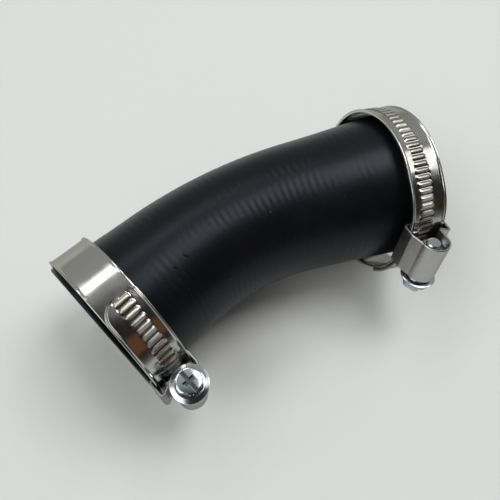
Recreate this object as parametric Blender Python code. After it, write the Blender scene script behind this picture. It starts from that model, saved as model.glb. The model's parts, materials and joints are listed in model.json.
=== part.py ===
"""Charge air hose: a moulded rubber hose with a worm-drive clamp on each end."""
import math

import bmesh
import bpy
import numpy as np
from mathutils import Matrix, Vector

# Sizes are in metres and angles in radians.
# The object lies on its two clamp bands, with the line between the hose ends along +X.
GAP = 0.0003

# Hose: a straight run, a bend and a second straight run, thinner in the middle.
LEFT_RUN = 0.026
BEND_RADIUS = 0.108
BEND_ANGLE = math.radians(27)
RIGHT_RUN = 0.036
LEFT_END_RADIUS = 0.0233
RIGHT_END_RADIUS = 0.0248
WAIST_DROP = 0.0026
HOSE_WALL = 0.006
HOSE_EDGE_ROUND = 0.0007
HOSE_SIDES = 40
HOSE_STATIONS = 30
BORE_STATIONS = 18

# Clamp band: one strip, plain at its fixed end and ridged towards its free tail.
BAND_WIDTH = 0.012
BAND_THICKNESS = 0.0007
LIP_HEIGHT = 0.0004
LIP_WIDTH = 0.0009
FLAT_RISE = 0.0005
FLAT_SOFTNESS = 0.0001
SPARE_PLAY = 0.00015
FIXED_END_LENGTH = 0.005
BAND_LENGTH = 0.1962
TAIL_OUTER_CORNER = 0.005
TAIL_INNER_CORNER = 0.0015
LAP_CLIMB_ANGLE = math.radians(26)
BAND_STEP_ANGLE = math.radians(8)
RIDGE_PITCH = 0.00205
RIDGE_COUNT = 42
RIDGE_LENGTH = 0.0045
RIDGE_WIDTH = 0.0012
RIDGE_HEIGHT = 0.00035
RIDGE_TILT = math.radians(3)
RIDGE_END_MARGIN = 0.0015
TRACK_OFFSET = 0.0009

# Clamp housing: folded sheet round the screw and under the band.
HOUSING_LENGTH = 0.0145
HOUSING_SHEET = 0.00065
HOUSING_BEND = 0.0009
HOOK_RISE = 0.001

# Clamp screw: pilot, worm, flange and a hexagon head with a cross and a slot.
# The worm is plain, at the middle of its thread's depth.
THREAD_DEPTH = 0.002
PILOT_RADIUS = 0.0023
PILOT_LENGTH = 0.0012
TIP_RECESS = 0.0009
FLANGE_RADIUS = 0.0055
FLANGE_THICKNESS = 0.0012
FLANGE_STAND = 0.0013
HEAD_ACROSS_FLATS = 0.007
HEAD_HEIGHT = 0.0034
HEAD_CHAMFER = 0.0004
SLOT_WIDTH = 0.0012
SLOT_DEPTH = 0.0014
CROSS_LENGTH = 0.0046
SCREW_SIDES = 36

# How the clamps sit on the hose ends.
END_LIP = 0.0008
LEFT_HOUSING_ANGLE = math.radians(-2)
RIGHT_HOUSING_ANGLE = math.radians(14)
LEFT_CLAMP_TILT = math.radians(-1.3)
RIGHT_CLAMP_TILT = math.radians(9)
REST_ROLL = math.radians(0)


def clear_scene():
    for item in list(bpy.data.objects):
        bpy.data.objects.remove(item, do_unlink=True)


def make_material(name, colour, metallic, roughness):
    material = bpy.data.materials.new(name)
    material.use_nodes = True
    shader = material.node_tree.nodes["Principled BSDF"]
    shader.inputs["Base Color"].default_value = (*colour, 1.0)
    shader.inputs["Metallic"].default_value = metallic
    shader.inputs["Roughness"].default_value = roughness
    material.diffuse_color = (*colour, 1.0)
    return material


def add_object(name, mesh, material, parent, matrix=None):
    item = bpy.data.objects.new(name, mesh)
    bpy.context.scene.collection.objects.link(item)
    item.parent = parent
    if matrix is not None:
        item.matrix_local = matrix
    mesh.materials.append(material)
    mesh.shade_smooth()
    mesh.set_sharp_from_angle(angle=math.radians(32))
    return item


def mesh_from_rings(name, rings, closed):
    """Join rings of equal length; closed joins the last to the first, else the ends are capped."""
    shell = bmesh.new()
    loops = [[shell.verts.new(point) for point in ring] for ring in rings]
    pairs = list(zip(loops, loops[1:]))
    if closed:
        pairs.append((loops[-1], loops[0]))
    else:
        shell.faces.new(loops[0])
        shell.faces.new(loops[-1])
    for first, second in pairs:
        for a, b, c, d in zip(first, first[1:] + first[:1], second[1:] + second[:1], second):
            shell.faces.new((a, b, c, d))
    bmesh.ops.recalc_face_normals(shell, faces=shell.faces)
    mesh = bpy.data.meshes.new(name)
    shell.to_mesh(mesh)
    shell.free()
    return mesh


def smooth_step(value):
    value = min(max(value, 0.0), 1.0)
    return value * value * (3 - 2 * value)


# Hose

def hose_length():
    return LEFT_RUN + BEND_RADIUS * BEND_ANGLE + RIGHT_RUN


def bend_frame(distance):
    """Point and heading at a distance along the hose, starting along +X and bending to -Y."""
    arc = BEND_RADIUS * BEND_ANGLE
    along = min(distance, LEFT_RUN)
    turned = min(max(distance - LEFT_RUN, 0.0), arc) / BEND_RADIUS
    rest = max(distance - LEFT_RUN - arc, 0.0)
    x = along + BEND_RADIUS * math.sin(turned) + rest * math.cos(turned)
    y = -BEND_RADIUS * (1 - math.cos(turned)) - rest * math.sin(turned)
    return Vector((x, y, 0.0)), -turned


def hose_frame(distance):
    """The same point and heading, with the line between the ends along +X."""
    end, _ = bend_frame(hose_length())
    chord = math.atan2(end.y, end.x)
    point, heading = bend_frame(distance)
    turn = Matrix.Rotation(-chord, 3, "Z")
    return turn @ point, heading - chord


def hose_radius(distance):
    share = distance / hose_length()
    ends = LEFT_END_RADIUS + (RIGHT_END_RADIUS - LEFT_END_RADIUS) * smooth_step(share)
    return ends - WAIST_DROP * 4 * share * (1 - share)


def hose_ring(distance, radius):
    centre, heading = hose_frame(distance)
    side = Vector((-math.sin(heading), math.cos(heading), 0.0))
    up = Vector((0.0, 0.0, 1.0))
    angles = np.linspace(0, 2 * math.pi, HOSE_SIDES, endpoint=False).tolist()
    return [centre + radius * (math.cos(a) * side + math.sin(a) * up) for a in angles]


def build_hose(material, parent):
    length = hose_length()
    edge = HOSE_EDGE_ROUND
    stations = np.linspace(edge, length - edge, HOSE_STATIONS).tolist()
    bore = np.linspace(length - edge, edge, BORE_STATIONS).tolist()
    outer = [hose_ring(s, hose_radius(s)) for s in stations]
    inner = [hose_ring(s, hose_radius(s) - HOSE_WALL) for s in bore]
    shy = 0.3 * edge
    right_end = [
        hose_ring(length - shy, hose_radius(length) - shy),
        hose_ring(length, hose_radius(length) - edge),
        hose_ring(length, hose_radius(length) - HOSE_WALL + edge),
        hose_ring(length - shy, hose_radius(length) - HOSE_WALL + shy),
    ]
    left_end = [
        hose_ring(shy, hose_radius(0) - HOSE_WALL + shy),
        hose_ring(0, hose_radius(0) - HOSE_WALL + edge),
        hose_ring(0, hose_radius(0) - edge),
        hose_ring(shy, hose_radius(0) - shy),
    ]
    mesh = mesh_from_rings("hose", outer + right_end + inner + left_end, closed=True)
    return add_object("hose", mesh, material, parent)


# Clamp sizes that follow from the hose and the band

class ClampFit:
    """Radii and heights of one clamp, in its own frame: ring axis +Z, housing at +X, screw head at -Y."""

    def __init__(self, hose_end_radius, tilt):
        self.tilt = tilt
        half = HOUSING_LENGTH / 2
        guess = hose_end_radius + GAP
        saddle_drop = guess - math.sqrt(guess ** 2 - half ** 2)
        self.side_room = (saddle_drop + HOUSING_SHEET + GAP) / 2
        self.tilt_room = BAND_WIDTH / 2 * math.sin(abs(tilt)) + guess * (1 - math.cos(tilt))
        self.play = self.side_room + self.tilt_room ** 2 / (4 * self.side_room) + SPARE_PLAY
        self.inner = hose_end_radius + GAP + self.play
        self.lip_radius = self.inner + BAND_THICKNESS + LIP_HEIGHT
        self.lap_lift = BAND_THICKNESS + GAP
        self.tail_top = self.inner - FLAT_RISE + self.lap_lift + BAND_THICKNESS
        self.saddle_top = math.sqrt(self.inner ** 2 - half ** 2) - GAP
        flange_y = half + FLANGE_STAND
        tail_radius = self.inner + self.lap_lift + BAND_THICKNESS + LIP_HEIGHT
        tail_at_flange = math.sqrt(tail_radius ** 2 - flange_y ** 2)
        self.screw_x = tail_at_flange + GAP + FLANGE_RADIUS
        crest_radius = self.screw_x - self.tail_top - RIDGE_HEIGHT - GAP
        self.worm_radius = crest_radius - THREAD_DEPTH / 2
        self.arch_radius = crest_radius + GAP + HOUSING_SHEET / 2
        self.side_shift = self.side_room
        self.drop = math.sqrt(self.play ** 2 - self.side_shift ** 2) - self.tilt_room


# Clamp band

def band_radius(angle, fit):
    """Inner radius of the strip: a circle with a soft flat under the screw."""
    flat = (fit.inner - FLAT_RISE) / max(math.cos(angle), 0.2)
    low = min(flat, fit.inner)
    spread = abs(flat - fit.inner) / FLAT_SOFTNESS
    return low - FLAT_SOFTNESS * math.log1p(math.exp(-min(spread, 60.0)))


def band_path(travel, fit):
    """Inner point of the strip after an angle of travel from the middle of the housing."""
    half_angle = math.asin(HOUSING_LENGTH / 2 / fit.inner)
    climb_end = 2 * math.pi - half_angle - BAND_STEP_ANGLE
    climb = (travel - climb_end + LAP_CLIMB_ANGLE) / LAP_CLIMB_ANGLE
    radius = band_radius(travel, fit) + fit.lap_lift * smooth_step(climb)
    return Vector((radius * math.cos(travel), -radius * math.sin(travel), 0.0))


def band_frame(travel, fit):
    """Inner point, direction of travel and outward normal of the strip."""
    step = 1e-4
    point = band_path(travel, fit)
    ahead = (band_path(travel + step, fit) - band_path(travel - step, fit)).normalized()
    outward = Vector((0.0, 0.0, 1.0)).cross(ahead)
    if outward.dot(point) < 0:
        outward.negate()
    return point, ahead, outward


def corner_inset(radius, to_end):
    """How far a round corner has cut in from the strip's side at a distance from its end."""
    reach = max(radius - to_end, 0.0)
    return radius - math.sqrt(max(radius ** 2 - reach ** 2, 0.0))


def band_section(travel, to_end, lip, fit):
    """Closed outline across the strip, with its two turned-up edges."""
    point, _, outward = band_frame(travel, fit)
    low = -BAND_WIDTH / 2 + corner_inset(TAIL_OUTER_CORNER, to_end)
    high = BAND_WIDTH / 2 - corner_inset(TAIL_INNER_CORNER, to_end)
    top = BAND_THICKNESS
    outline = [
        (low, 0.0),
        (high, 0.0),
        (high, top + lip),
        (high - 0.4 * LIP_WIDTH, top + lip),
        (high - LIP_WIDTH, top),
        (low + LIP_WIDTH, top),
        (low + 0.4 * LIP_WIDTH, top + lip),
        (low, top + lip),
    ]
    return [point + height * outward + Vector((0.0, 0.0, across)) for across, height in outline]


def build_ridges(name, end_travel, fit, parent, matrix):
    """Raised ridges that the worm drives, one solid each, to be joined to the strip."""
    ridges = bmesh.new()
    sink = BAND_THICKNESS / 3
    chamfer = 0.3 * RIDGE_WIDTH
    half_length = RIDGE_LENGTH / 2
    half_width = RIDGE_WIDTH / 2
    outline = [
        (-half_length, -half_width + chamfer),
        (-half_length + chamfer, -half_width),
        (half_length - chamfer, -half_width),
        (half_length, -half_width + chamfer),
        (half_length, half_width - chamfer),
        (half_length - chamfer, half_width),
        (-half_length + chamfer, half_width),
        (-half_length, half_width - chamfer),
    ]
    pitch_angle = RIDGE_PITCH / (fit.inner + fit.lap_lift + BAND_THICKNESS)
    first = end_travel - RIDGE_END_MARGIN / fit.inner
    for number in range(RIDGE_COUNT):
        point, ahead, outward = band_frame(first - number * pitch_angle, fit)
        across = Vector((0.0, 0.0, 1.0))
        long_way = math.cos(RIDGE_TILT) * across - math.sin(RIDGE_TILT) * ahead
        short_way = math.cos(RIDGE_TILT) * ahead + math.sin(RIDGE_TILT) * across
        centre = point + BAND_THICKNESS * outward + TRACK_OFFSET * across
        levels = []
        for height, scale in ((-sink, 1.0), (RIDGE_HEIGHT, 0.75)):
            level = []
            for along, wide in outline:
                spot = centre + height * outward
                spot += (along * (0.9 + 0.1 * scale)) * long_way + wide * scale * short_way
                level.append(ridges.verts.new(spot))
            levels.append(level)
        ridges.faces.new(levels[0])
        ridges.faces.new(levels[-1])
        for first_level, second_level in zip(levels, levels[1:]):
            for corner in range(len(outline)):
                after = (corner + 1) % len(outline)
                ridges.faces.new((first_level[corner], first_level[after],
                                  second_level[after], second_level[corner]))
    bmesh.ops.recalc_face_normals(ridges, faces=ridges.faces)
    mesh = bpy.data.meshes.new(name)
    ridges.to_mesh(mesh)
    ridges.free()
    cutter = bpy.data.objects.new(name, mesh)
    bpy.context.scene.collection.objects.link(cutter)
    cutter.parent = parent
    cutter.matrix_local = matrix
    cutter.hide_render = True
    cutter.display_type = "WIRE"
    return cutter


def band_travels(start, end, lowest):
    """Even steps from start to end with one flat facet centred on the lowest point."""
    first = math.ceil((start - lowest) / BAND_STEP_ANGLE + 0.5)
    last = math.floor((end - lowest) / BAND_STEP_ANGLE - 0.5)
    return [start] + [lowest + (step + 0.5) * BAND_STEP_ANGLE for step in range(first, last)] + [end]


def build_band(name, fit, lowest, material, parent, matrix):
    start = -FIXED_END_LENGTH / fit.inner
    tail_length = BAND_LENGTH - FIXED_END_LENGTH - 2 * math.pi * fit.inner
    end = 2 * math.pi + tail_length / (fit.inner + fit.lap_lift)
    covered = end - 2 * math.pi + BAND_STEP_ANGLE
    travels = band_travels(start, end - TAIL_OUTER_CORNER / fit.inner, lowest)
    corner_steps = 6
    for step in range(1, corner_steps + 1):
        share = math.sin(step / corner_steps * math.pi / 2)
        travels.append(end - TAIL_OUTER_CORNER / fit.inner * (1 - share))
    sections = []
    for travel in travels:
        lip = LIP_HEIGHT * smooth_step((travel - covered) / BAND_STEP_ANGLE)
        sections.append(band_section(travel, (end - travel) * fit.inner, lip, fit))
    band = add_object(name, mesh_from_rings(name, sections, closed=False), material, parent, matrix)
    cutter = build_ridges(name + "_ridges", end, fit, parent, matrix)
    join = band.modifiers.new("ridges", "BOOLEAN")
    join.operation = "UNION"
    join.solver = "EXACT"
    join.object = cutter
    return band


# Clamp housing

def rounded_outline(corners, steps=5):
    """Closed outline with each corner (across, height, radius) turned into an arc."""
    outline = []
    count = len(corners)
    for index, (across, height, radius) in enumerate(corners):
        corner = Vector((across, height))
        before = (Vector(corners[index - 1][:2]) - corner).normalized()
        after = (Vector(corners[(index + 1) % count][:2]) - corner).normalized()
        half = before.angle(after) / 2
        middle = (before + after).normalized()
        centre = corner + middle * radius / math.sin(half)
        first = corner + before * radius / math.tan(half) - centre
        last = corner + after * radius / math.tan(half) - centre
        arc_steps = steps if radius < 3 * HOUSING_BEND else 2 * steps
        sweep = math.atan2(first.x * last.y - first.y * last.x, first.dot(last))
        for step in range(arc_steps + 1):
            angle = sweep * step / arc_steps
            turn = Matrix.Rotation(angle, 2)
            outline.append(centre + turn @ first)
    return outline


def offset_outline(outline, distance):
    """The same closed outline moved sideways by a distance."""
    moved = []
    count = len(outline)
    for index, point in enumerate(outline):
        before = (point - outline[index - 1]).normalized()
        after = (outline[(index + 1) % count] - point).normalized()
        normal = Vector((before.y + after.y, -before.x - after.x)).normalized()
        widen = max(normal.dot(Vector((before.y, -before.x))), 0.5)
        moved.append(point + normal * distance / widen)
    return moved


def build_housing(name, fit, material, parent, matrix):
    half_sheet = HOUSING_SHEET / 2
    wall = BAND_WIDTH / 2 + GAP + half_sheet
    floor = fit.saddle_top - half_sheet
    over_band = fit.tail_top + LIP_HEIGHT + GAP + half_sheet
    arch_top = fit.screw_x + fit.arch_radius
    arch_bend = 0.98 * fit.arch_radius
    shoulder = over_band + HOOK_RISE
    corners = [
        (-wall, floor, HOUSING_BEND),
        (wall, floor, HOUSING_BEND),
        (wall, shoulder, HOUSING_BEND),
        (TRACK_OFFSET + fit.arch_radius, shoulder + HOOK_RISE, HOUSING_BEND),
        (TRACK_OFFSET + fit.arch_radius, arch_top, arch_bend),
        (TRACK_OFFSET - fit.arch_radius, arch_top, arch_bend),
        (TRACK_OFFSET - fit.arch_radius, over_band, 0.6 * HOUSING_BEND),
        (-wall, shoulder, 0.8 * HOUSING_BEND),
    ]
    middle = rounded_outline(corners)
    outer = offset_outline(middle, half_sheet)
    inner = offset_outline(middle, -half_sheet)
    half = HOUSING_LENGTH / 2
    rings = []
    for outline, y in ((outer, -half), (outer, half), (inner, half), (inner, -half)):
        rings.append([Vector((point.y, y, point.x)) for point in outline])
    mesh = mesh_from_rings(name, rings, closed=True)
    return add_object(name, mesh, material, parent, matrix)


# Clamp screw

def hexagon_radius(angle, apothem):
    sector = math.radians(60)
    return apothem / math.cos((angle + sector / 2) % sector - sector / 2)


def screw_ring(y, radius, hexagon=False):
    ring = []
    for angle in np.linspace(0, 2 * math.pi, SCREW_SIDES, endpoint=False).tolist():
        reach = min(hexagon_radius(angle, HEAD_ACROSS_FLATS / 2), radius) if hexagon else radius
        ring.append(Vector((reach * math.cos(angle), y, reach * math.sin(angle))))
    return ring


def build_recess(name, head_end, parent, matrix):
    """Cutter for the slot right across the head and the shorter arm that crosses it."""
    half = SLOT_WIDTH / 2
    slot = HEAD_ACROSS_FLATS
    arm = CROSS_LENGTH / 2
    outline = [
        (-slot, -half), (-half, -half), (-half, -arm), (half, -arm), (half, -half), (slot, -half),
        (slot, half), (half, half), (half, arm), (-half, arm), (-half, half), (-slot, half),
    ]
    rings = []
    for y in (head_end + SLOT_DEPTH, head_end - SLOT_DEPTH):
        rings.append([Vector((x, y, z)) for x, z in outline])
    cutter = bpy.data.objects.new(name, mesh_from_rings(name, rings, closed=False))
    bpy.context.scene.collection.objects.link(cutter)
    cutter.parent = parent
    cutter.matrix_local = matrix
    cutter.hide_render = True
    cutter.display_type = "WIRE"
    return cutter


def build_screw(name, fit, material, parent, matrix):
    """Turned screw along -Y, with its origin on its own axis."""
    tip = HOUSING_LENGTH / 2 - TIP_RECESS
    worm_start = tip - PILOT_LENGTH
    worm_end = -HOUSING_LENGTH / 2 + GAP
    flange_start = -HOUSING_LENGTH / 2 - FLANGE_STAND
    flange_end = flange_start - FLANGE_THICKNESS
    head_end = flange_end - HEAD_HEIGHT
    corner = HEAD_ACROSS_FLATS / 2 / math.cos(math.radians(30))
    chamfer = HEAD_CHAMFER
    rings = [
        screw_ring(tip, PILOT_RADIUS - chamfer),
        screw_ring(tip - chamfer, PILOT_RADIUS),
        screw_ring(worm_start, PILOT_RADIUS),
        screw_ring(worm_start - chamfer, fit.worm_radius),
        screw_ring(worm_end, fit.worm_radius),
        screw_ring(worm_end, HEAD_ACROSS_FLATS / 2),
        screw_ring(flange_start, HEAD_ACROSS_FLATS / 2),
        screw_ring(flange_start, FLANGE_RADIUS - chamfer),
        screw_ring(flange_start - chamfer, FLANGE_RADIUS),
        screw_ring(flange_end + chamfer, FLANGE_RADIUS),
        screw_ring(flange_end, FLANGE_RADIUS - 2 * chamfer),
        screw_ring(flange_end, corner, hexagon=True),
        screw_ring(head_end + chamfer, corner, hexagon=True),
        screw_ring(head_end, HEAD_ACROSS_FLATS / 2, hexagon=True),
    ]
    place = matrix @ Matrix.Translation((fit.screw_x, 0.0, TRACK_OFFSET))
    screw = add_object(name, mesh_from_rings(name, rings, closed=False), material, parent, place)
    cutter = build_recess(name + "_recess", head_end, parent, place)
    cut = screw.modifiers.new("recess", "BOOLEAN")
    cut.operation = "DIFFERENCE"
    cut.solver = "EXACT"
    cut.object = cutter
    return screw


# Clamps on the hose ends

def clamp_matrix(end_distance, inward, housing_angle, head_up, fit):
    """Place a clamp: ring axis along the hose, housing on the near side, head up or down."""
    centre, heading = hose_frame(end_distance)
    along = Vector((math.cos(heading), math.sin(heading), 0.0)) * inward
    up = Vector((0.0, 0.0, 1.0))
    side = up.cross(along) if head_up else along.cross(up)
    side.negate()
    lean = Matrix.Rotation(housing_angle, 3, along)
    outward = lean @ side
    if outward.z * housing_angle < 0:
        outward = lean.transposed() @ side
    middle = centre + along * (END_LIP + BAND_WIDTH / 2)
    middle += side * fit.side_shift + up * fit.drop
    head = outward.cross(along)
    if (head.z > 0) != head_up:
        head.negate()
    tilt = Matrix.Rotation(fit.tilt, 3, along.cross(up))
    axis, outward, head = (tilt @ along, tilt @ outward, tilt @ head)
    columns = Matrix((outward, -head, axis)).transposed()
    return Matrix.Translation(middle) @ columns.to_4x4()


def build_clamp(side, matrix, fit, lowest, metals, parent):
    build_band(side + "_band", fit, lowest, metals["band"], parent, matrix)
    build_housing(side + "_housing", fit, metals["housing"], parent, matrix)
    build_screw(side + "_screw", fit, metals["screw"], parent, matrix)


# Rest pose

def lowest_point(item):
    graph = bpy.context.evaluated_depsgraph_get()
    points = [item.matrix_world @ v.co for v in item.evaluated_get(graph).data.vertices]
    return min(points, key=lambda point: point.z)


def lay_down(frame):
    """Roll the assembly, level it on its two bands and centre its box on the origin."""
    frame.rotation_euler = (REST_ROLL, 0.0, 0.0)
    bands = [bpy.data.objects["left_band"], bpy.data.objects["right_band"]]
    for _ in range(3):
        bpy.context.view_layer.update()
        left, right = [lowest_point(band) for band in bands]
        frame.rotation_euler.y += math.atan2(right.z - left.z, right.x - left.x)
    bpy.context.view_layer.update()
    graph = bpy.context.evaluated_depsgraph_get()
    corners = []
    for item in bpy.data.objects:
        if item.type == "MESH" and not item.hide_render:
            mesh = item.evaluated_get(graph).data
            corners += [item.matrix_world @ v.co for v in mesh.vertices]
    spots = np.array(corners)
    low, high = spots.min(axis=0), spots.max(axis=0)
    frame.location = (-(low[0] + high[0]) / 2, -(low[1] + high[1]) / 2, -low[2])
    bpy.context.view_layer.update()


def main():
    clear_scene()
    frame = bpy.data.objects.new("rest_frame", None)
    bpy.context.scene.collection.objects.link(frame)
    rubber = make_material("black_rubber", (0.012, 0.013, 0.017), 0.0, 0.45)
    build_hose(rubber, frame)
    metals = {
        "band": make_material("band_steel", (0.68, 0.67, 0.65), 1.0, 0.22),
        "housing": make_material("housing_steel", (0.62, 0.61, 0.59), 1.0, 0.28),
        "screw": make_material("screw_zinc", (0.62, 0.66, 0.7), 1.0, 0.25),
    }
    left_fit = ClampFit(LEFT_END_RADIUS, LEFT_CLAMP_TILT)
    left = clamp_matrix(0.0, 1.0, LEFT_HOUSING_ANGLE, True, left_fit)
    build_clamp("left", left, left_fit, math.radians(270) - LEFT_HOUSING_ANGLE, metals, frame)
    right_fit = ClampFit(RIGHT_END_RADIUS, RIGHT_CLAMP_TILT)
    right = clamp_matrix(hose_length(), -1.0, RIGHT_HOUSING_ANGLE, False, right_fit)
    build_clamp("right", right, right_fit, math.radians(90) + RIGHT_HOUSING_ANGLE, metals, frame)
    lay_down(frame)


main()
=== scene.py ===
import json
import math

import bmesh
import bpy
from mathutils import Matrix, Vector


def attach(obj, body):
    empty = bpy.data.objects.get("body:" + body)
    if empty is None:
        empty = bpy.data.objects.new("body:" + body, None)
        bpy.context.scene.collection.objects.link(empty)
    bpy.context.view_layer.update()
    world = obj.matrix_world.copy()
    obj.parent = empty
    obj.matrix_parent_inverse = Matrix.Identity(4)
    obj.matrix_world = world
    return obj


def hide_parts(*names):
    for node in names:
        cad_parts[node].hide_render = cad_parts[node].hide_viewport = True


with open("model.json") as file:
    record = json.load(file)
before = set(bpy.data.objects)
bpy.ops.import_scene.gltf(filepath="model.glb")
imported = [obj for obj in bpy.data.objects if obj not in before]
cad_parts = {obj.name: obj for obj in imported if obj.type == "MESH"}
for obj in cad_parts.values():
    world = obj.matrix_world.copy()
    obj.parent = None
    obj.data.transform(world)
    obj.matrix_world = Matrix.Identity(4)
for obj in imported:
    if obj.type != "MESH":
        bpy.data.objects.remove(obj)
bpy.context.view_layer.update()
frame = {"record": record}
rootBody = "hose_and_clamps"
fullTurn = 2 * math.pi
print("frame loaded")


# mesh helpers

def smoothStep(value):
    value = min(max(value, 0.0), 1.0)
    return value * value * (3 - 2 * value)


def spread(first, last, count):
    return [first + (last - first) * i / (count - 1) for i in range(count)]


def addPiece(name, mesh, material, sharpAngle=32):
    piece = bpy.data.objects.new(name, mesh)
    bpy.context.scene.collection.objects.link(piece)
    mesh.materials.clear()
    mesh.materials.append(material)
    mesh.shade_smooth()
    mesh.set_sharp_from_angle(angle=math.radians(sharpAngle))
    return piece


def meshFromRings(name, rings, closed, marks=None):
    # joins rings of equal length; marks are named lists of one number for each point
    shell = bmesh.new()
    loops = [[shell.verts.new(point) for point in ring] for ring in rings]
    pairs = list(zip(loops, loops[1:]))
    if closed:
        pairs.append((loops[-1], loops[0]))
    else:
        shell.faces.new(loops[0])
        shell.faces.new(loops[-1])
    for first, second in pairs:
        for a, b, c, d in zip(first, first[1:] + first[:1], second[1:] + second[:1], second):
            shell.faces.new((a, b, c, d))
    shell.verts.index_update()
    bmesh.ops.recalc_face_normals(shell, faces=shell.faces)
    mesh = bpy.data.meshes.new(name)
    shell.to_mesh(mesh)
    shell.free()
    for mark, values in (marks or {}).items():
        layer = mesh.attributes.new(mark, "FLOAT", "POINT")
        layer.data.foreach_set("value", [v for ring in values for v in ring])
    return mesh


# node helpers, for shaders and geometry alike

class Wire:
    # a socket that can be used in sums
    def __init__(self, sheet, socket):
        self.sheet = sheet
        self.socket = socket

    def maths(self, operation, *others):
        values = dict(enumerate((self,) + others))
        return self.sheet.node("ShaderNodeMath", {"operation": operation}, values)[0]

    def __add__(self, other):
        return self.maths("ADD", other)

    def __radd__(self, other):
        return self.maths("ADD", other)

    def __sub__(self, other):
        return self.maths("SUBTRACT", other)

    def __rsub__(self, other):
        return self.sheet.node("ShaderNodeMath", {"operation": "SUBTRACT"}, {0: other, 1: self})[0]

    def __mul__(self, other):
        return self.maths("MULTIPLY", other)

    def __rmul__(self, other):
        return self.maths("MULTIPLY", other)

    def __truediv__(self, other):
        return self.maths("DIVIDE", other)

    def __pow__(self, other):
        return self.maths("POWER", other)

    def soft(self, low, high):
        # 0 below low, 1 above high, smooth between; low may be above high
        share = ((self - low) / (high - low)).maths("MAXIMUM", 0.0).maths("MINIMUM", 1.0)
        return share * share * (3.0 - 2.0 * share)


class Sheet:
    # a node tree, with one method for every node
    def __init__(self, tree):
        self.tree = tree

    def node(self, kind, settings=None, values=None):
        made = self.tree.nodes.new(kind)
        for key, value in (settings or {}).items():
            setattr(made, key, value)
        for key, value in (values or {}).items():
            if isinstance(value, Wire):
                self.tree.links.new(value.socket, made.inputs[key])
            else:
                made.inputs[key].default_value = value
        return [Wire(self, socket) for socket in made.outputs if socket.enabled]

    def mixed(self, share, first, last):
        settings = {"data_type": "RGBA", "clamp_factor": True}
        values = {0: share, 6: first, 7: last}
        return self.node("ShaderNodeMix", settings, values)[0]


def shapeTree(name, inputs, build):
    # a geometry tree: named inputs, then build(sheet, sockets) gives the shape
    tree = bpy.data.node_groups.new(name, "GeometryNodeTree")
    face = tree.interface
    face.new_socket("Shape", in_out="INPUT", socket_type="NodeSocketGeometry")
    for label in inputs:
        face.new_socket(label, in_out="INPUT", socket_type="NodeSocketFloat")
    face.new_socket("Finish", in_out="INPUT", socket_type="NodeSocketMaterial")
    face.new_socket("Shape", in_out="OUTPUT", socket_type="NodeSocketGeometry")
    sheet = Sheet(tree)
    given = tree.nodes.new("NodeGroupInput")
    sockets = {socket.name: Wire(sheet, socket) for socket in given.outputs if socket.name}
    shape = build(sheet, sockets)
    shape = sheet.node("GeometryNodeRealizeInstances", None, {"Geometry": shape})[0]
    finished = {"Geometry": shape, "Material": sockets["Finish"]}
    shape = sheet.node("GeometryNodeSetMaterial", None, finished)[0]
    sheet.node("NodeGroupOutput", None, {"Shape": shape})
    return tree


def plainMesh(piece):
    # the piece's mesh with its modifiers worked in
    graph = bpy.context.evaluated_depsgraph_get()
    live = piece.evaluated_get(graph)
    return bpy.data.meshes.new_from_object(live, preserve_all_data_layers=True, depsgraph=graph)


def shaped(piece, tree, sizes, material):
    # runs the tree on a piece and keeps its result as a plain mesh
    modifier = piece.modifiers.new(tree.name, "NODES")
    modifier.node_group = tree
    for item in tree.interface.items_tree:
        if item.in_out == "INPUT" and item.name in sizes:
            modifier[item.identifier] = sizes[item.name]
        if item.in_out == "INPUT" and item.name == "Finish":
            modifier[item.identifier] = material
    plain = plainMesh(piece)
    piece.modifiers.remove(modifier)
    piece.data = plain
    return piece


def storedNumber(sheet, name):
    return sheet.node("GeometryNodeInputNamedAttribute", {"data_type": "FLOAT"}, {"Name": name})[0]


def pushedOut(sheet, shape, height):
    # moves each point along its normal
    normal = sheet.node("GeometryNodeInputNormal")[0]
    offset = sheet.node("ShaderNodeVectorMath", {"operation": "SCALE"}, {0: normal, 3: height})[0]
    return sheet.node("GeometryNodeSetPosition", None, {"Geometry": shape, "Offset": offset})[0]


# materials

def newFinish(name, baseColour, metallic, roughness):
    material = bpy.data.materials.new(name)
    material.use_nodes = True
    sheet = Sheet(material.node_tree)
    shader = material.node_tree.nodes["Principled BSDF"]
    shader.inputs["Base Color"].default_value = (*baseColour, 1.0)
    shader.inputs["Metallic"].default_value = metallic
    shader.inputs["Roughness"].default_value = roughness
    return material, sheet, shader


def plug(sheet, shader, name, wire):
    sheet.tree.links.new(wire.socket, shader.inputs[name])


def noise(sheet, vector, scale, detail=3.0, roughness=0.55):
    values = {"Vector": vector, "Scale": scale, "Detail": detail, "Roughness": roughness}
    return sheet.node("ShaderNodeTexNoise", {"noise_dimensions": "3D"}, values)[0]


def stored(sheet, name):
    # a number kept on the mesh, in a shader
    return sheet.node("ShaderNodeAttribute", {"attribute_name": name})[2]


def stretched(sheet, vector, scale):
    values = {"Vector": vector, "Scale": scale}
    return sheet.node("ShaderNodeMapping", {"vector_type": "POINT"}, values)[0]


def objectPlace(sheet):
    return sheet.node("ShaderNodeTexCoord")[3]


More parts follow.
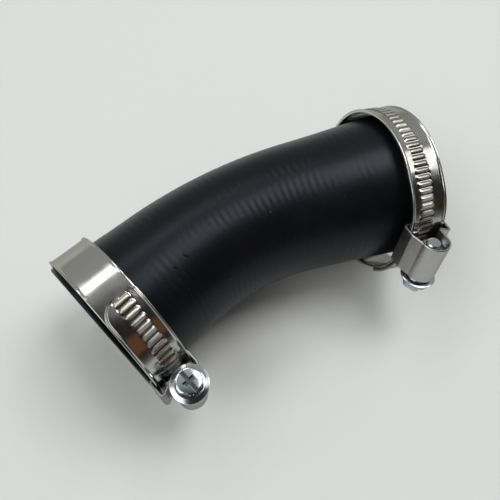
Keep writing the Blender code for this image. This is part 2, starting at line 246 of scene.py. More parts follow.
rubberLook = {
    "colour": (0.0030, 0.0034, 0.0050),
    "dusty": (0.0085, 0.0090, 0.0115),
    "dustRange": (0.45, 0.75),
    "dustShare": 0.5,
    "grainScale": 900.0,
    "grainDepth": 0.00002,
    "grainStrength": 0.35,
    "blotchScale": 55.0,
    "roughness": 0.32,
    "roughnessDrop": 0.05,
    "blotchRoughness": 0.12,
    "grainRoughness": 0.05,
    "shine": 0.2,
    "shineColour": (0.80, 0.90, 1.0),
    "nicks": (
        {"place": (-0.0250, 0.0032, 0.0461), "turn": math.radians(-45)},
        {"place": (-0.0290, 0.0012, 0.0457), "turn": math.radians(-38)},
    ),
    "nickSize": (0.0012, 0.00026, 0.002),
    "nickEdge": (0.7, 1.3),
    "nickRoughness": 0.4,
    "nickColour": (0.0006, 0.0006, 0.0008),
    "speckScale": 800.0,
    "speckRange": (0.86, 0.89),
    "speckColour": (0.05, 0.053, 0.056),
}


def makeRubber():
    look = rubberLook
    material, sheet, shader = newFinish("mouldedRubber", look["colour"], 0.0, look["roughness"])
    shader.inputs["Specular IOR Level"].default_value = look["shine"]
    shader.inputs["Specular Tint"].default_value = (*look["shineColour"], 1.0)
    place = objectPlace(sheet)
    blotch = noise(sheet, place, look["blotchScale"], detail=4.0)
    fine = noise(sheet, place, look["grainScale"], detail=2.0)
    dust = blotch.soft(*look["dustRange"]) * look["dustShare"]
    colour = sheet.mixed(dust, (*look["colour"], 1.0), (*look["dusty"], 1.0))
    specks = noise(sheet, place, look["speckScale"], detail=0.0).soft(*look["speckRange"])
    colour = sheet.mixed(specks, colour, (*look["speckColour"], 1.0))
    roughness = look["roughness"] - look["roughnessDrop"]
    roughness = roughness + look["blotchRoughness"] * blotch + look["grainRoughness"] * fine
    for nick in look["nicks"]:
        values = {"Vector": place, "Location": nick["place"], "Scale": look["nickSize"]}
        values["Rotation"] = (0.0, 0.0, nick["turn"])
        local = sheet.node("ShaderNodeMapping", {"vector_type": "TEXTURE"}, values)[0]
        away = sheet.node("ShaderNodeVectorMath", {"operation": "LENGTH"}, {0: local})[0]
        mark = 1.0 - away.soft(*look["nickEdge"])
        colour = sheet.mixed(mark, colour, (*look["nickColour"], 1.0))
        roughness = roughness + look["nickRoughness"] * mark
    plug(sheet, shader, "Base Color", colour)
    plug(sheet, shader, "Roughness", roughness)
    values = {"Strength": look["grainStrength"], "Distance": look["grainDepth"], "Height": fine}
    plug(sheet, shader, "Normal", sheet.node("ShaderNodeBump", None, values)[0])
    return material


steelLook = {
    "band": {"colour": (0.52, 0.512, 0.485), "roughness": 0.12, "streak": 0.08, "scratch": 0.05,
             # the flank colour is painted shade down the ridge flanks
             "pressedRoughness": 0.26, "flankShadeColour": (0.10, 0.09, 0.08),
             # the ridge colour is a painted highlight on the ridge tops
             "ridgeHighlightColour": (0.68, 0.665, 0.61), "edgeColour": (0.58, 0.572, 0.54)},
    "housing": {"colour": (0.44, 0.432, 0.424), "roughness": 0.24, "streak": 0.08, "scratch": 0.05,
                "edgeColour": (0.62, 0.61, 0.6)},
    "screw": {"colour": (0.50, 0.545, 0.57), "roughness": 0.18, "streak": 0.05, "scratch": 0.04,
              # the dark colour below is painted shade in the head's recess and round the foot of the head
              "edgeColour": (0.8, 0.84, 0.87), "paintedShade": 0.85, "paintedShadeColour": (0.10, 0.11, 0.12)},
}
steelGrain = {
    "brushedRows": (30.0, 2600.0),
    "plainRows": (60.0, 60.0, 900.0),
    "plainScale": 4.0,
    "cloudScale": 140.0,
    "softness": 0.6,
    "smudgeRange": (0.35, 0.75),
    "smudgeRoughness": 0.10,
    "smudgeShare": 0.5,
    "smudgeShade": 0.86,
    # share of the painted highlight on the ridge tops
    "ridgeHighlightShare": 0.5,
    # where and how strongly the painted shade lies down the ridge flanks
    "flankFoot": (0.03, 0.2),
    "flankTop": (0.35, 0.65),
    "flankShadeShare": 0.7,
    "scratchDepth": 0.0001,
}


def makeSteel(name, look, brushed):
    grain = steelGrain
    material, sheet, shader = newFinish(name, look["colour"], 1.0, look["roughness"])
    place = objectPlace(sheet)
    if brushed:
        along, across = grain["brushedRows"]
        values = {0: stored(sheet, "along") * along, 1: stored(sheet, "across") * across}
        rows = sheet.node("ShaderNodeCombineXYZ", None, values)[0]
        streaks = noise(sheet, rows, 1.0, roughness=grain["softness"])
    else:
        rows = stretched(sheet, place, grain["plainRows"])
        streaks = noise(sheet, rows, grain["plainScale"], roughness=grain["softness"])
    clouds = noise(sheet, place, grain["cloudScale"], detail=4.0, roughness=grain["softness"])
    smudge = clouds.soft(*grain["smudgeRange"])
    roughness = look["roughness"] + look["streak"] * (streaks - 0.5)
    roughness = roughness + grain["smudgeRoughness"] * smudge
    darker = tuple(channel * grain["smudgeShade"] for channel in look["colour"])
    colour = sheet.mixed(smudge * grain["smudgeShare"], (*look["colour"], 1.0), (*darker, 1.0))
    if brushed:
        # the pressed ridges are rougher, with a painted highlight on their tops and painted shade down their
        # flanks
        pressed = stored(sheet, "pressed")
        roughness = roughness + look["pressedRoughness"] * pressed
        # painted highlight: the ridge tops are lighter in colour
        colour = sheet.mixed(pressed * grain["ridgeHighlightShare"], colour, (*look["ridgeHighlightColour"], 1.0))
        # painted shade: the ridge flanks are darkened in colour
        flank = pressed.soft(*grain["flankFoot"]) * (1.0 - pressed.soft(*grain["flankTop"]))
        colour = sheet.mixed(flank * grain["flankShadeShare"], colour, (*look["flankShadeColour"], 1.0))
    # painted shade in the screw head's recess and round the foot of the head
    if "paintedShade" in look:
        paintedShade = stored(sheet, "paintedShade") * look["paintedShade"]
        colour = sheet.mixed(paintedShade, colour, (*look["paintedShadeColour"], 1.0))
    plug(sheet, shader, "Roughness", roughness)
    plug(sheet, shader, "Base Color", colour)
    shader.inputs["Specular Tint"].default_value = (*look["edgeColour"], 1.0)
    values = {"Strength": look["scratch"], "Distance": grain["scratchDepth"], "Height": streaks}
    plug(sheet, shader, "Normal", sheet.node("ShaderNodeBump", None, values)[0])
    return material


rubber = makeRubber()
bandSteel = makeSteel("bandSteel", steelLook["band"], brushed=True)
housingSteel = makeSteel("housingSteel", steelLook["housing"], brushed=False)
screwZinc = makeSteel("screwZinc", steelLook["screw"], brushed=False)
print("materials ready")


# hose

hose = {
    "gap": 0.0003,
    "leftRun": 0.026,
    "bendRadius": 0.108,
    "bendAngle": math.radians(27),
    "rightRun": 0.036,
    "leftEndRadius": 0.0233,
    "rightEndRadius": 0.0248,
    "waistDrop": 0.0026,
    "wall": 0.006,
    "edgeRound": 0.0007,
    "sides": 132,
    "stations": 330,
    "boreStations": 90,
    "edgeSteps": 5,
    "sharpAngle": 40,
    "hoopShare": 0.65,
    "weaveShare": 0.35,
    "rippleFade": (0.012, 0.024),
    "patchDetail": 2.0,
    "patchRange": (0.38, 0.66),
    "Ripple Pitch": 0.0023,
    "Ripple Depth": 0.00005,
    "Patch Scale": 60.0,
    "Ripple Slant": 3.0,
    "Weave Slant": 14.0,
}
hose["arc"] = hose["bendRadius"] * hose["bendAngle"]
hose["length"] = hose["leftRun"] + hose["arc"] + hose["rightRun"]


def bendFrame(distance):
    # point and heading at a distance along the hose, starting along +X and bending to -Y
    along = min(distance, hose["leftRun"])
    turned = min(max(distance - hose["leftRun"], 0.0), hose["arc"]) / hose["bendRadius"]
    rest = max(distance - hose["leftRun"] - hose["arc"], 0.0)
    x = along + hose["bendRadius"] * math.sin(turned) + rest * math.cos(turned)
    y = -hose["bendRadius"] * (1 - math.cos(turned)) - rest * math.sin(turned)
    return Vector((x, y, 0.0)), -turned


def hoseFrame(distance):
    # the same, with the line between the ends along +X
    end, _ = bendFrame(hose["length"])
    chord = math.atan2(end.y, end.x)
    point, heading = bendFrame(distance)
    return Matrix.Rotation(-chord, 3, "Z") @ point, heading - chord


def hoseRadius(distance):
    share = distance / hose["length"]
    ends = hose["leftEndRadius"] + (hose["rightEndRadius"] - hose["leftEndRadius"]) * smoothStep(share)
    return ends - hose["waistDrop"] * 4 * share * (1 - share)


def hoseRing(place, distance, radius):
    centre, heading = hoseFrame(distance)
    side = Vector((-math.sin(heading), math.cos(heading), 0.0))
    up = Vector((0.0, 0.0, 1.0))
    angles = [fullTurn * i / hose["sides"] for i in range(hose["sides"])]
    return [place @ (centre + radius * (math.cos(a) * side + math.sin(a) * up)) for a in angles]


def hoseOutline():
    # distance, radius and outer mark of each ring, once round the wall
    length, edge, wall = hose["length"], hose["edgeRound"], hose["wall"]
    outline = [(s, hoseRadius(s), 1.0) for s in spread(edge, length - edge, hose["stations"])]
    quarter = [math.pi / 2 * i / hose["edgeSteps"] for i in range(1, hose["edgeSteps"] + 1)]
    for end, out in ((length, 1), (0.0, -1)):
        rim = hoseRadius(end)
        bevel = [(end - out * edge * (1 - math.sin(a)), edge * (1 - math.cos(a))) for a in quarter]
        outer = [(s, rim - inset, 0.0) for s, inset in bevel]
        inner = [(s, rim - wall + inset, 0.0) for s, inset in reversed(bevel)]
        if end:
            outline += outer + inner
            outline += [(s, hoseRadius(s) - wall, 0.0) for s in spread(length - edge, edge, hose["boreStations"])]
        else:
            outline += list(reversed(inner)) + list(reversed(outer))
    return outline


def buildHose(place):
    outline = hoseOutline()
    rings = [hoseRing(place, s, r) for s, r, _ in outline]
    sides = hose["sides"]
    marks = {
        "along": [[s] * sides for s, _, _ in outline],
        "around": [[i / sides for i in range(sides)] for _ in outline],
        "outer": [[outer] * sides for _, _, outer in outline],
    }
    mesh = meshFromRings("moulded_hose", rings, True, marks)
    piece = addPiece("moulded_hose", mesh, rubber, hose["sharpAngle"])

    def ripples(sheet, given):
        along = storedNumber(sheet, "along")
        around = storedNumber(sheet, "around")
        rows = along / given["Ripple Pitch"]
        hoops = ((rows + around * given["Ripple Slant"]) * fullTurn).maths("SINE")
        weave = ((rows - around * given["Weave Slant"]) * fullTurn).maths("SINE")
        wave = hoops * hose["hoopShare"] + weave * hose["weaveShare"]
        fromEnd = along.maths("MINIMUM", given["Length"] - along)
        fade = fromEnd.soft(*hose["rippleFade"])
        values = {"Scale": given["Patch Scale"], "Detail": hose["patchDetail"]}
        uneven = sheet.node("ShaderNodeTexNoise", None, values)[0].soft(*hose["patchRange"])
        height = wave * uneven * given["Ripple Depth"] * fade * storedNumber(sheet, "outer")
        return pushedOut(sheet, given["Shape"], height)

    inputs = ["Ripple Pitch", "Ripple Depth", "Ripple Slant", "Weave Slant", "Patch Scale", "Length"]
    tree = shapeTree("mouldRipples", inputs, ripples)
    sizes = {**hose, "Length": hose["length"]}
    return shaped(piece, tree, sizes, rubber)


# clamp sizes; the main ones are those of the solids

band = {
    "width": 0.012,
    "thickness": 0.0007,
    "lipHeight": 0.0004,
    "lipWidth": 0.0009,
    "flatRise": 0.0005,
    "flatSoftness": 0.0001,
    "sparePlay": 0.00015,
    "fixedEnd": 0.005,
    "length": 0.1962,
    "outerCorner": 0.005,
    "innerCorner": 0.0015,
    "solidRidge": 0.00035,
    "climbAngle": math.radians(26),
    "stepAngle": math.radians(8),
    "fineStep": 0.00014,
    "plainStep": 0.0009,
    "topPoints": 58,
    "underPoints": 9,
    "tailSteps": 24,
    "edgeShare": 0.3,
    "cutShare": 0.3,
    "lipFlat": 0.35,
    "lipFade": 0.75,
    "sharpAngle": 50,
    "ridgePower": 5.0,
    "troughFade": (1.2, 0.85),
    "Pitch": 0.00205,
    "Count": 42.0,
    "Ridge Length": 0.0048,
    "Ridge Height": 0.00036,
    "Trough Depth": 0.00008,
    "Slant": math.tan(math.radians(3)),
    "End Margin": 0.0005,
    "Track": 0.0009,
}
housing = {
    "length": 0.0145,
    "sheet": 0.00065,
    "bend": 0.0009,
    "hookRise": 0.0019,
    "flankFoot": 0.0006,
    "flankRise": 0.0046,
    "snug": 0.00105,
    "edgeRound": 0.00014,
    "archShare": 0.98,
    "flankBend": 2.0,
    "trackBend": 0.6,
    "hookBend": 0.8,
    "cornerSteps": 8,
    "largeCorner": 0.0027,
    "largeSteps": 24,
    "sharpAngle": 40,
}
screw = {
    "threadDepth": 0.002,
    "pilotRadius": 0.0023,
    "pilotLength": 0.0012,
    "tipRecess": 0.0009,
    "flangeRadius": 0.0055,
    "flangeThickness": 0.0012,
    "coneTop": 0.0042,
    # size and strength of the painted shade line round the foot of the head
    "footShade": 0.00002,
    "footShadeShare": 0.8,
    "flangeStand": 0.0013,
    "acrossFlats": 0.007,
    "headHeight": 0.0034,
    "chamfer": 0.0004,
    "slotWidth": 0.0012,
    "slotDepth": 0.0014,
    "crossLength": 0.0046,
    "slotTaper": ((-1, 0.62), (0, 0.55), (1, 0.36)),
    "armTaper": 0.35,
    # where the painted shade lies in the recess
    "shadeSlotHalf": 0.65,
    "shadeArmReach": 0.6,
    "shadeDepthRange": (0.3, 1.1),
    "threadFlank": (0.25, 0.5),
    "threadFade": 0.001,
    "smallStep": 0.0001,
    "flangeSide": 0.45,
    "flangeChamfer": 0.5,
    "cornerShare": 0.985,
    "cornerEnd": 0.9,
    "headRound": ((0.45, 0.0002), (0.15, -0.0001), (0.0, -0.0004)),
    "roundSteps": 3,
    "sides": 96,
    "threadRings": 120,
    "sharpAngle": 30,
}
clampEnds = {
    "left": {
        "distance": 0.0, "inward": 1.0, "radius": hose["leftEndRadius"],
        "turn": math.radians(-2), "tilt": math.radians(-1.3), "headUp": True,
    },
    "right": {
        "distance": hose["length"], "inward": -1.0, "radius": hose["rightEndRadius"],
        "turn": math.radians(14), "tilt": math.radians(9), "headUp": False,
    },
}
endLip = 0.0008


def clampSizes(endRadius, tilt):
    gap = hose["gap"]
    half = housing["length"] / 2
    guess = endRadius + gap
    saddleDrop = guess - math.sqrt(guess ** 2 - half ** 2)
    sideRoom = (saddleDrop + housing["sheet"] + gap) / 2
    tiltRoom = band["width"] / 2 * math.sin(abs(tilt)) + guess * (1 - math.cos(tilt))
    play = sideRoom + tiltRoom ** 2 / (4 * sideRoom) + band["sparePlay"]
    fit = {"sideShift": sideRoom, "drop": math.sqrt(play ** 2 - sideRoom ** 2) - tiltRoom}
    fit["inner"] = endRadius + gap + play
    fit["lapLift"] = band["thickness"] + gap
    fit["tailTop"] = fit["inner"] - band["flatRise"] + fit["lapLift"] + band["thickness"]
    fit["saddleTop"] = math.sqrt(fit["inner"] ** 2 - half ** 2) - gap
    flangeY = half + screw["flangeStand"]
    tailRadius = fit["inner"] + fit["lapLift"] + band["thickness"] + band["lipHeight"]
    fit["screwX"] = math.sqrt(tailRadius ** 2 - flangeY ** 2) + gap + screw["flangeRadius"]
    crest = fit["screwX"] - fit["tailTop"] - band["solidRidge"] - gap
    crest -= housing["snug"]  # the real tube hugs the thread closer than the plain solid does
    fit["worm"] = crest - screw["threadDepth"] / 2
    fit["arch"] = crest + gap + housing["sheet"] / 2
    return fit


def clampMatrix(end, fit):
    centre, heading = hoseFrame(end["distance"])
    along = Vector((math.cos(heading), math.sin(heading), 0.0)) * end["inward"]
    up = Vector((0.0, 0.0, 1.0))
    side = up.cross(along) if end["headUp"] else along.cross(up)
    side.negate()
    lean = Matrix.Rotation(end["turn"], 3, along)
    outward = lean @ side
    if outward.z * end["turn"] < 0:
        outward = lean.transposed() @ side
    middle = centre + along * (endLip + band["width"] / 2)
    middle += side * fit["sideShift"] + up * fit["drop"]
    head = outward.cross(along)
    if (head.z > 0) != end["headUp"]:
        head.negate()
    tilt = Matrix.Rotation(end["tilt"], 3, along.cross(up))
    columns = Matrix((tilt @ outward, -(tilt @ head), tilt @ along)).transposed()
    return Matrix.Translation(middle) @ columns.to_4x4()


def restPlace(places, fits):
    # where the frame put the object: the two screw joints against the same points here
    joints = {joint["child"]: Vector(joint["pos_m"]) for joint in frame["record"]["behaviour"]["joints"]}
    spots = {side: places[side] @ Vector((fits[side]["screwX"], 0.0, band["Track"])) for side in places}
    here = spots["right"] - spots["left"]
    there = joints["right_screw"] - joints["left_screw"]
    roll = Matrix.Rotation(math.atan2(here.z, here.x) - math.atan2(there.z, there.x), 4, "Y")
    return Matrix.Translation(joints["left_screw"] - roll @ spots["left"]) @ roll


fits = {side: clampSizes(end["radius"], end["tilt"]) for side, end in clampEnds.items()}
localPlaces = {side: clampMatrix(end, fits[side]) for side, end in clampEnds.items()}
rest = restPlace(localPlaces, fits)
places = {side: rest @ place for side, place in localPlaces.items()}

hosePiece = buildHose(rest)
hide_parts("hose")
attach(hosePiece, rootBody)
print("hose built")


# clamp bands

def bandRadius(travel, fit):
    # round, but flat under the housing; 0.2 and 60 only keep the sums finite
    flat = (fit["inner"] - band["flatRise"]) / max(math.cos(travel), 0.2)
    gapAway = abs(flat - fit["inner"]) / band["flatSoftness"]
    return min(flat, fit["inner"]) - band["flatSoftness"] * math.log1p(math.exp(-min(gapAway, 60.0)))


def bandPath(travel, fit):
    halfAngle = math.asin(housing["length"] / 2 / fit["inner"])
    climbEnd = fullTurn - halfAngle - band["stepAngle"]
    climb = (travel - climbEnd + band["climbAngle"]) / band["climbAngle"]
    radius = bandRadius(travel, fit) + fit["lapLift"] * smoothStep(climb)
    return Vector((radius * math.cos(travel), -radius * math.sin(travel), 0.0))


def bandFrame(travel, fit):
    point = bandPath(travel, fit)
    ahead = (bandPath(travel + 1e-4, fit) - bandPath(travel - 1e-4, fit)).normalized()
    outward = Vector((0.0, 0.0, 1.0)).cross(ahead)
    if outward.dot(point) < 0:
        outward.negate()
    return point, outward


def cornerInset(radius, toEnd):
    reach = max(radius - toEnd, 0.0)
    return radius - math.sqrt(max(radius ** 2 - reach ** 2, 0.0))


def bandSection(toEnd, lip):
    # outline across the strip: (across, height, face), face 1 on top
    low = -band["width"] / 2 + cornerInset(band["outerCorner"], toEnd)
    high = band["width"] / 2 - cornerInset(band["innerCorner"], toEnd)
    thick = band["thickness"]
    edge = band["edgeShare"] * thick
    cut = band["cutShare"] * edge
    section = [(across, 0.0, 0.0) for across in spread(low + edge, high - edge, band["underPoints"])]
    section += [(high - cut, cut, 0.0), (high, edge, 0.0)]
    section += [(high, thick + lip - edge, 0.0), (high - cut, thick + lip - cut, 0.0)]
    for across in spread(high - edge, low + edge, band["topPoints"]):
        past = min(across - low, high - across) - band["lipFlat"] * band["lipWidth"]
        rise = lip * (1 - smoothStep(past / (band["lipFade"] * band["lipWidth"])))
        section.append((across, thick + rise, 1.0))
    section += [(low + cut, thick + lip - cut, 0.0), (low, thick + lip - edge, 0.0)]
    section += [(low, edge, 0.0), (low + cut, cut, 0.0)]
    return section


def bandTravels(start, end, fit):
    # fine steps where the ridges are, and towards the round tail
    ridged = end - (band["Count"] + 1) * band["Pitch"] / fit["inner"]
    corner = end - band["outerCorner"] / fit["inner"]
    plain = spread(start, ridged, int((ridged - start) * fit["inner"] / band["plainStep"]))
    fine = spread(ridged, corner, int((corner - ridged) * fit["inner"] / band["fineStep"]))
    steps = band["tailSteps"]
    tail = [end - (end - corner) * (1 - math.sin(i / steps * math.pi / 2)) for i in range(steps + 1)]
    return plain + fine[1:] + tail[1:]


def pressedRidges(sheet, given):
    along = storedNumber(sheet, "along")
    across = storedNumber(sheet, "across") - given["Track"]
    turns = (along - given["End Margin"]) / given["Pitch"] + across * given["Slant"] / given["Pitch"]
    number = turns.maths("FLOOR")
    within = number.maths("GREATER_THAN", -0.5) * number.maths("LESS_THAN", given["Count"] - 0.5)
    wave = 0.5 - 0.5 * ((turns - number) * fullTurn).maths("COSINE")
    out = (across * 2.0 / given["Ridge Length"]).maths("ABSOLUTE")
    ridge = wave * (1.0 - out ** band["ridgePower"]).maths("MAXIMUM", 0.0)
    track = out.soft(*band["troughFade"])
    height = given["Ridge Height"] * ridge - given["Trough Depth"] * track * (1.0 - wave)
    mask = within * storedNumber(sheet, "face")
    kept = {"Geometry": given["Shape"], "Name": "pressed", "Value": ridge * mask}
    shape = sheet.node("GeometryNodeStoreNamedAttribute", {"data_type": "FLOAT", "domain": "POINT"}, kept)[0]
    return pushedOut(sheet, shape, height * mask)


ridgeInputs = ["Pitch", "Count", "Ridge Length", "Ridge Height", "Trough Depth", "Slant", "End Margin", "Track"]
ridgeTree = shapeTree("pressedRidges", ridgeInputs, pressedRidges)


def buildBand(name, fit, place):
    start = -band["fixedEnd"] / fit["inner"]
    tail = band["length"] - band["fixedEnd"] - fullTurn * fit["inner"]
    end = fullTurn + tail / (fit["inner"] + fit["lapLift"])
    covered = end - fullTurn + band["stepAngle"]
    rings = []
    marks = {"along": [], "across": [], "face": []}
    for travel in bandTravels(start, end, fit):
        point, outward = bandFrame(travel, fit)
        toEnd = (end - travel) * fit["inner"]
        lip = band["lipHeight"] * smoothStep((travel - covered) / band["stepAngle"])
        section = bandSection(toEnd, lip)
        spots = [point + height * outward + Vector((0.0, 0.0, across)) for across, height, _ in section]
        rings.append([place @ spot for spot in spots])
        marks["along"].append([toEnd] * len(section))
        marks["across"].append([across for across, _, _ in section])
        marks["face"].append([face for _, _, face in section])
    mesh = meshFromRings(name, rings, False, marks)
    piece = addPiece(name, mesh, bandSteel, band["sharpAngle"])
    return shaped(piece, ridgeTree, band, bandSteel)


for side, place in places.items():
    piece = buildBand(side + "_clamp_band", fits[side], place)
    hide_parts(side + "_band")
    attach(piece, rootBody)
print("bands built")


# clamp housings

def roundedOutline(corners):
    # closed outline with each corner (across, height, radius) turned into an arc
    outline = []
    for index, (across, height, radius) in enumerate(corners):
        corner = Vector((across, height))
        before = (Vector(corners[index - 1][:2]) - corner).normalized()
        after = (Vector(corners[(index + 1) % len(corners)][:2]) - corner).normalized()
        half = before.angle(after) / 2
        centre = corner + (before + after).normalized() * radius / math.sin(half)
        first = corner + before * radius / math.tan(half) - centre
        last = corner + after * radius / math.tan(half) - centre
        steps = housing["cornerSteps"] if radius < housing["largeCorner"] else housing["largeSteps"]
        sweep = math.atan2(first.x * last.y - first.y * last.x, first.dot(last))
        outline += [centre + Matrix.Rotation(sweep * step / steps, 2) @ first for step in range(steps + 1)]
    return outline


def offsetOutline(outline, distance):
    moved = []
    for index, point in enumerate(outline):
        before = (point - outline[index - 1]).normalized()
        after = (outline[(index + 1) % len(outline)] - point).normalized()
        normal = Vector((before.y + after.y, -before.x - after.x)).normalized()
        widen = max(normal.dot(Vector((before.y, -before.x))), 0.5)
        moved.append(point + normal * distance / widen)
    return moved


def buildHousing(name, fit, place):
    halfSheet = housing["sheet"] / 2
    gap = hose["gap"]
    wall = band["width"] / 2 + gap + halfSheet
    floor = fit["saddleTop"] - halfSheet
    overBand = fit["tailTop"] + band["lipHeight"] + gap + halfSheet
    top = fit["screwX"] + fit["arch"]
    shoulder = overBand + housing["hookRise"]
    bend, track = housing["bend"], band["Track"]
    middle = roundedOutline([
        (-wall, floor, bend),
        (wall, floor, bend),
        (wall, overBand + housing["flankFoot"], bend),
        (track + fit["arch"], overBand + housing["flankRise"], housing["flankBend"] * bend),
        (track + fit["arch"], top, housing["archShare"] * fit["arch"]),
        (track - fit["arch"], top, housing["archShare"] * fit["arch"]),
        (track - fit["arch"], overBand, housing["trackBend"] * bend),
        (-wall, shoulder, housing["hookBend"] * bend),
    ])
    # the two faces of the sheet, with its cut edges rounded
    half = housing["length"] / 2
    inset, reach = halfSheet - housing["edgeRound"], half - housing["edgeRound"]
    levels = [(inset, -half), (halfSheet, -reach), (halfSheet, reach), (inset, half)]
    levels += [(-inset, half), (-halfSheet, reach), (-halfSheet, -reach), (-inset, -half)]
    rings = []
    for offset, y in levels:
        rings.append([place @ Vector((point.y, y, point.x)) for point in offsetOutline(middle, offset)])
    return addPiece(name, meshFromRings(name, rings, True), housingSteel, housing["sharpAngle"])


for side, place in places.items():
    piece = buildHousing(side + "_clamp_housing", fits[side], place)
    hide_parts(side + "_housing")
    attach(piece, rootBody)
print("housings built")


# clamp screws

def hexagonRadius(angle, apothem):
    sector = math.radians(60)
    return apothem / math.cos((angle + sector / 2) % sector - sector / 2)


def threadRadius(y, angle, fit, start, end):
    # right-hand thread that fades out at both ends
    turns = y / band["Pitch"] + angle / fullTurn
    wave = 1 - 2 * abs(turns % 1.0 - 0.5)
    foot, flank = screw["threadFlank"]
    height = smoothStep((wave - foot) / flank) - 0.5
    fade = smoothStep((start - y) / screw["threadFade"]) * smoothStep((y - end) / screw["threadFade"])
    return fit["worm"] + screw["threadDepth"] * (height * fade - 0.5 * (1 - fade))


def screwRing(y, radiusAt):
    angles = [fullTurn * i / screw["sides"] for i in range(screw["sides"])]
    return [Vector((radiusAt(a) * math.cos(a), y, radiusAt(a) * math.sin(a))) for a in angles]


def roundEdge(y, radius, size):
    # small round on the flange, from its side at y towards the head
    steps = screw["roundSteps"]
    turns = [math.pi / 2 * i / steps for i in range(steps + 1)]
    return [(y - size * math.sin(a), radius - size * (1 - math.cos(a))) for a in turns]


def recessMesh(name, headEnd):
    # the slot right across the head and the shorter arm that crosses it, narrower towards the bottom
    rings = []
    slot = screw["acrossFlats"]
    for level, share in screw["slotTaper"]:
        y, half = headEnd + level * screw["slotDepth"], share * screw["slotWidth"]
        arm = screw["crossLength"] / 2 - screw["armTaper"] * (y - headEnd + screw["slotDepth"])
        rings.append([Vector((x, y, z)) for x, z in (
            (-slot, -half), (-half, -half), (-half, -arm), (half, -arm), (half, -half), (slot, -half),
            (slot, half), (half, half), (half, arm), (-half, arm), (-half, half), (-slot, half))])
    return meshFromRings(name, rings, False)


def paintedShadeAt(spot, headEnd, flangeEnd):
    # painted shade down in the recess, and a line of painted shade round the foot of the head
    x, depth, z = abs(spot.x), spot.y - headEnd, abs(spot.z)
    near, reach = screw["shadeSlotHalf"] * screw["slotWidth"], screw["shadeArmReach"] * screw["crossLength"]
    inSlot = z < near or (x < near and z < reach)
    shallow, deep = screw["shadeDepthRange"]
    inDepth = shallow * screw["slotDepth"] < depth < deep * screw["slotDepth"]
    atFoot = abs(spot.y - flangeEnd) < screw["footShade"] and max(x, z) < screw["coneTop"]
    return 1.0 if inSlot and inDepth else screw["footShadeShare"] * atFoot


def buildScrew(name, fit, place):
    half = housing["length"] / 2
    tip = half - screw["tipRecess"]
    wormStart = tip - screw["pilotLength"]
    wormEnd = -half + hose["gap"]
    flangeStart = -half - screw["flangeStand"]
    flangeEnd = flangeStart - screw["flangeThickness"]
    headEnd = flangeEnd - screw["headHeight"]
    apothem = screw["acrossFlats"] / 2
    chamfer, step = screw["chamfer"], screw["smallStep"]
    pilot, flange = screw["pilotRadius"], screw["flangeRadius"]
    cornerCap = apothem / math.cos(math.radians(30)) * screw["cornerShare"]
    turned = [(tip, pilot - chamfer), (tip - chamfer, pilot), (wormStart, pilot)]
    rings = [screwRing(y, lambda a: radius) for y, radius in turned]
    for y in spread(wormStart - step, wormEnd, screw["threadRings"]):
        rings.append(screwRing(y, lambda a: threadRadius(y, a, fit, wormStart, wormEnd)))
    turned = [(wormEnd - step, apothem), (flangeStart, apothem), (flangeStart, flange - chamfer)]
    turned += [(flangeStart - chamfer * screw["flangeChamfer"], flange)]
    turned += roundEdge(flangeStart - screw["flangeThickness"] * screw["flangeSide"], flange, step)
    turned += [(flangeEnd + step / 2, screw["coneTop"] + step), (flangeEnd, screw["coneTop"])]
    rings += [screwRing(y, lambda a: radius) for y, radius in turned]
    capped = [(flangeEnd, cornerCap), (headEnd + screw["cornerEnd"] * chamfer, cornerCap)]
    capped += [(headEnd + lift * chamfer, apothem + wider) for lift, wider in screw["headRound"]]
    for y, cap in capped:
        rings.append(screwRing(y, lambda a: min(hexagonRadius(a, apothem), cap)))
    piece = addPiece(name, meshFromRings(name, rings, False), screwZinc, screw["sharpAngle"])
    recess = name + "_recess"
    cutter = addPiece(recess, recessMesh(recess, headEnd), screwZinc, screw["sharpAngle"])
    cut = piece.modifiers.new("recess", "BOOLEAN")
    cut.operation = "DIFFERENCE"
    cut.solver = "EXACT"
    cut.object = cutter
    plain = plainMesh(piece)
    piece.modifiers.remove(cut)
    bpy.data.objects.remove(cutter, do_unlink=True)
    # painted shade kept on the mesh: darker in the recess and round the foot of the head
    paintedShade = plain.attributes.new("paintedShade", "FLOAT", "POINT")
    for index, vertex in enumerate(plain.vertices):
        paintedShade.data[index].value = paintedShadeAt(vertex.co, headEnd, flangeEnd)
    plain.transform(place @ Matrix.Translation((fit["screwX"], 0.0, band["Track"])))
    piece.data = plain
    plain.shade_smooth()
    plain.set_sharp_from_angle(angle=math.radians(screw["sharpAngle"]))
    return piece


for side, place in places.items():
    piece = buildScrew(side + "_clamp_screw", fits[side], place)
    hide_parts(side + "_screw")
    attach(piece, side + "_screw")
print("screws built")


# floor, lights and camera

studio = {
    "floorSize": 3.0,
    "floorColour": (0.70, 0.715, 0.70),
    "floorRoughness": 0.85,
    "roomTone": (0.40, 0.41, 0.40),
    "darkTone": (0.025, 0.025, 0.024),
    "darkSide": (0.24, -0.62, 0.75),
    "darkSpread": (0.46, 0.80),
    "warmTone": (0.16, 0.075, 0.035),
    "warmSide": (0.25, -0.85, 0.47),
    "warmSpread": (0.965, 0.987),
    "cameraPlace": (-0.044036, -0.056489, 0.166839),
    "cameraTurn": (0.4840, -0.0382, -0.5205),
    "lens": 34.56,
    "lamps": (
        {"name": "backPanel", "place": (-0.17, 0.63, 1.01), "size": (1.0, 0.24), "power": 2.6},
        {"name": "rightPanel", "place": (0.86, -0.23, 0.80), "size": (0.5, 0.3), "power": 1.0},
        {"name": "leftPanel", "place": (-0.78, -0.04, 0.92), "size": (0.9, 0.6), "power": 4.2},
        {"name": "topPanel", "place": (0.46, 0.06, 1.10), "size": (0.56, 0.56), "power": 6.4},
    ),
    "lampTarget": (0.0, 0.0, 0.03),
}


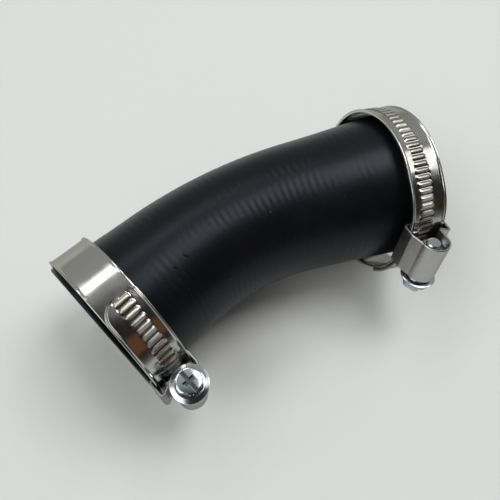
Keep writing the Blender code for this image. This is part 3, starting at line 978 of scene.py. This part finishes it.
def makeFloor():
    half = studio["floorSize"] / 2
    corners = ((-half, -half, 0), (half, -half, 0), (half, half, 0), (-half, half, 0))
    shell = bmesh.new()
    shell.faces.new([shell.verts.new(corner) for corner in corners])
    mesh = bpy.data.meshes.new("floor")
    shell.to_mesh(mesh)
    shell.free()
    material = newFinish("paleFloor", studio["floorColour"], 0.0, studio["floorRoughness"])[0]
    floor = addPiece("floor", mesh, material)


def makeLights():
    world = bpy.data.worlds.new("studio")
    bpy.context.scene.world = world
    world.use_nodes = True
    sheet = Sheet(world.node_tree)
    way = sheet.node("ShaderNodeTexCoord")[0]

    def facing(side, low, high):
        # 1 where the room lies towards a side, soft at its edge
        unit = tuple(Vector(side).normalized())
        share = sheet.node("ShaderNodeVectorMath", {"operation": "DOT_PRODUCT"}, {0: way, 1: unit})[0]
        return share.soft(low, high)

    dark = facing(studio["darkSide"], *studio["darkSpread"])
    warm = facing(studio["warmSide"], *studio["warmSpread"])
    tone = sheet.mixed(dark, (*studio["roomTone"], 1.0), (*studio["darkTone"], 1.0))
    tone = sheet.mixed(warm, tone, (*studio["warmTone"], 1.0))
    sheet.tree.links.new(tone.socket, world.node_tree.nodes["Background"].inputs["Color"])
    for lamp in studio["lamps"]:
        light = bpy.data.lights.new(lamp["name"], "AREA")
        light.shape = "RECTANGLE"
        light.size, light.size_y = lamp["size"]
        light.energy = lamp["power"]
        item = bpy.data.objects.new(lamp["name"], light)
        bpy.context.scene.collection.objects.link(item)
        item.location = lamp["place"]
        aim = Vector(studio["lampTarget"]) - item.location
        item.rotation_euler = aim.to_track_quat("-Z", "Y").to_euler()


def makeCamera():
    lens = bpy.data.cameras.new("camera")
    lens.sensor_width = 36.0
    lens.lens = studio["lens"]
    lens.clip_start = 0.005
    item = bpy.data.objects.new("camera", lens)
    bpy.context.scene.collection.objects.link(item)
    item.location = studio["cameraPlace"]
    item.rotation_euler = studio["cameraTurn"]
    bpy.context.scene.camera = item


makeFloor()
makeLights()
makeCamera()
bpy.context.scene.view_settings.view_transform = "Standard"
print("studio ready")
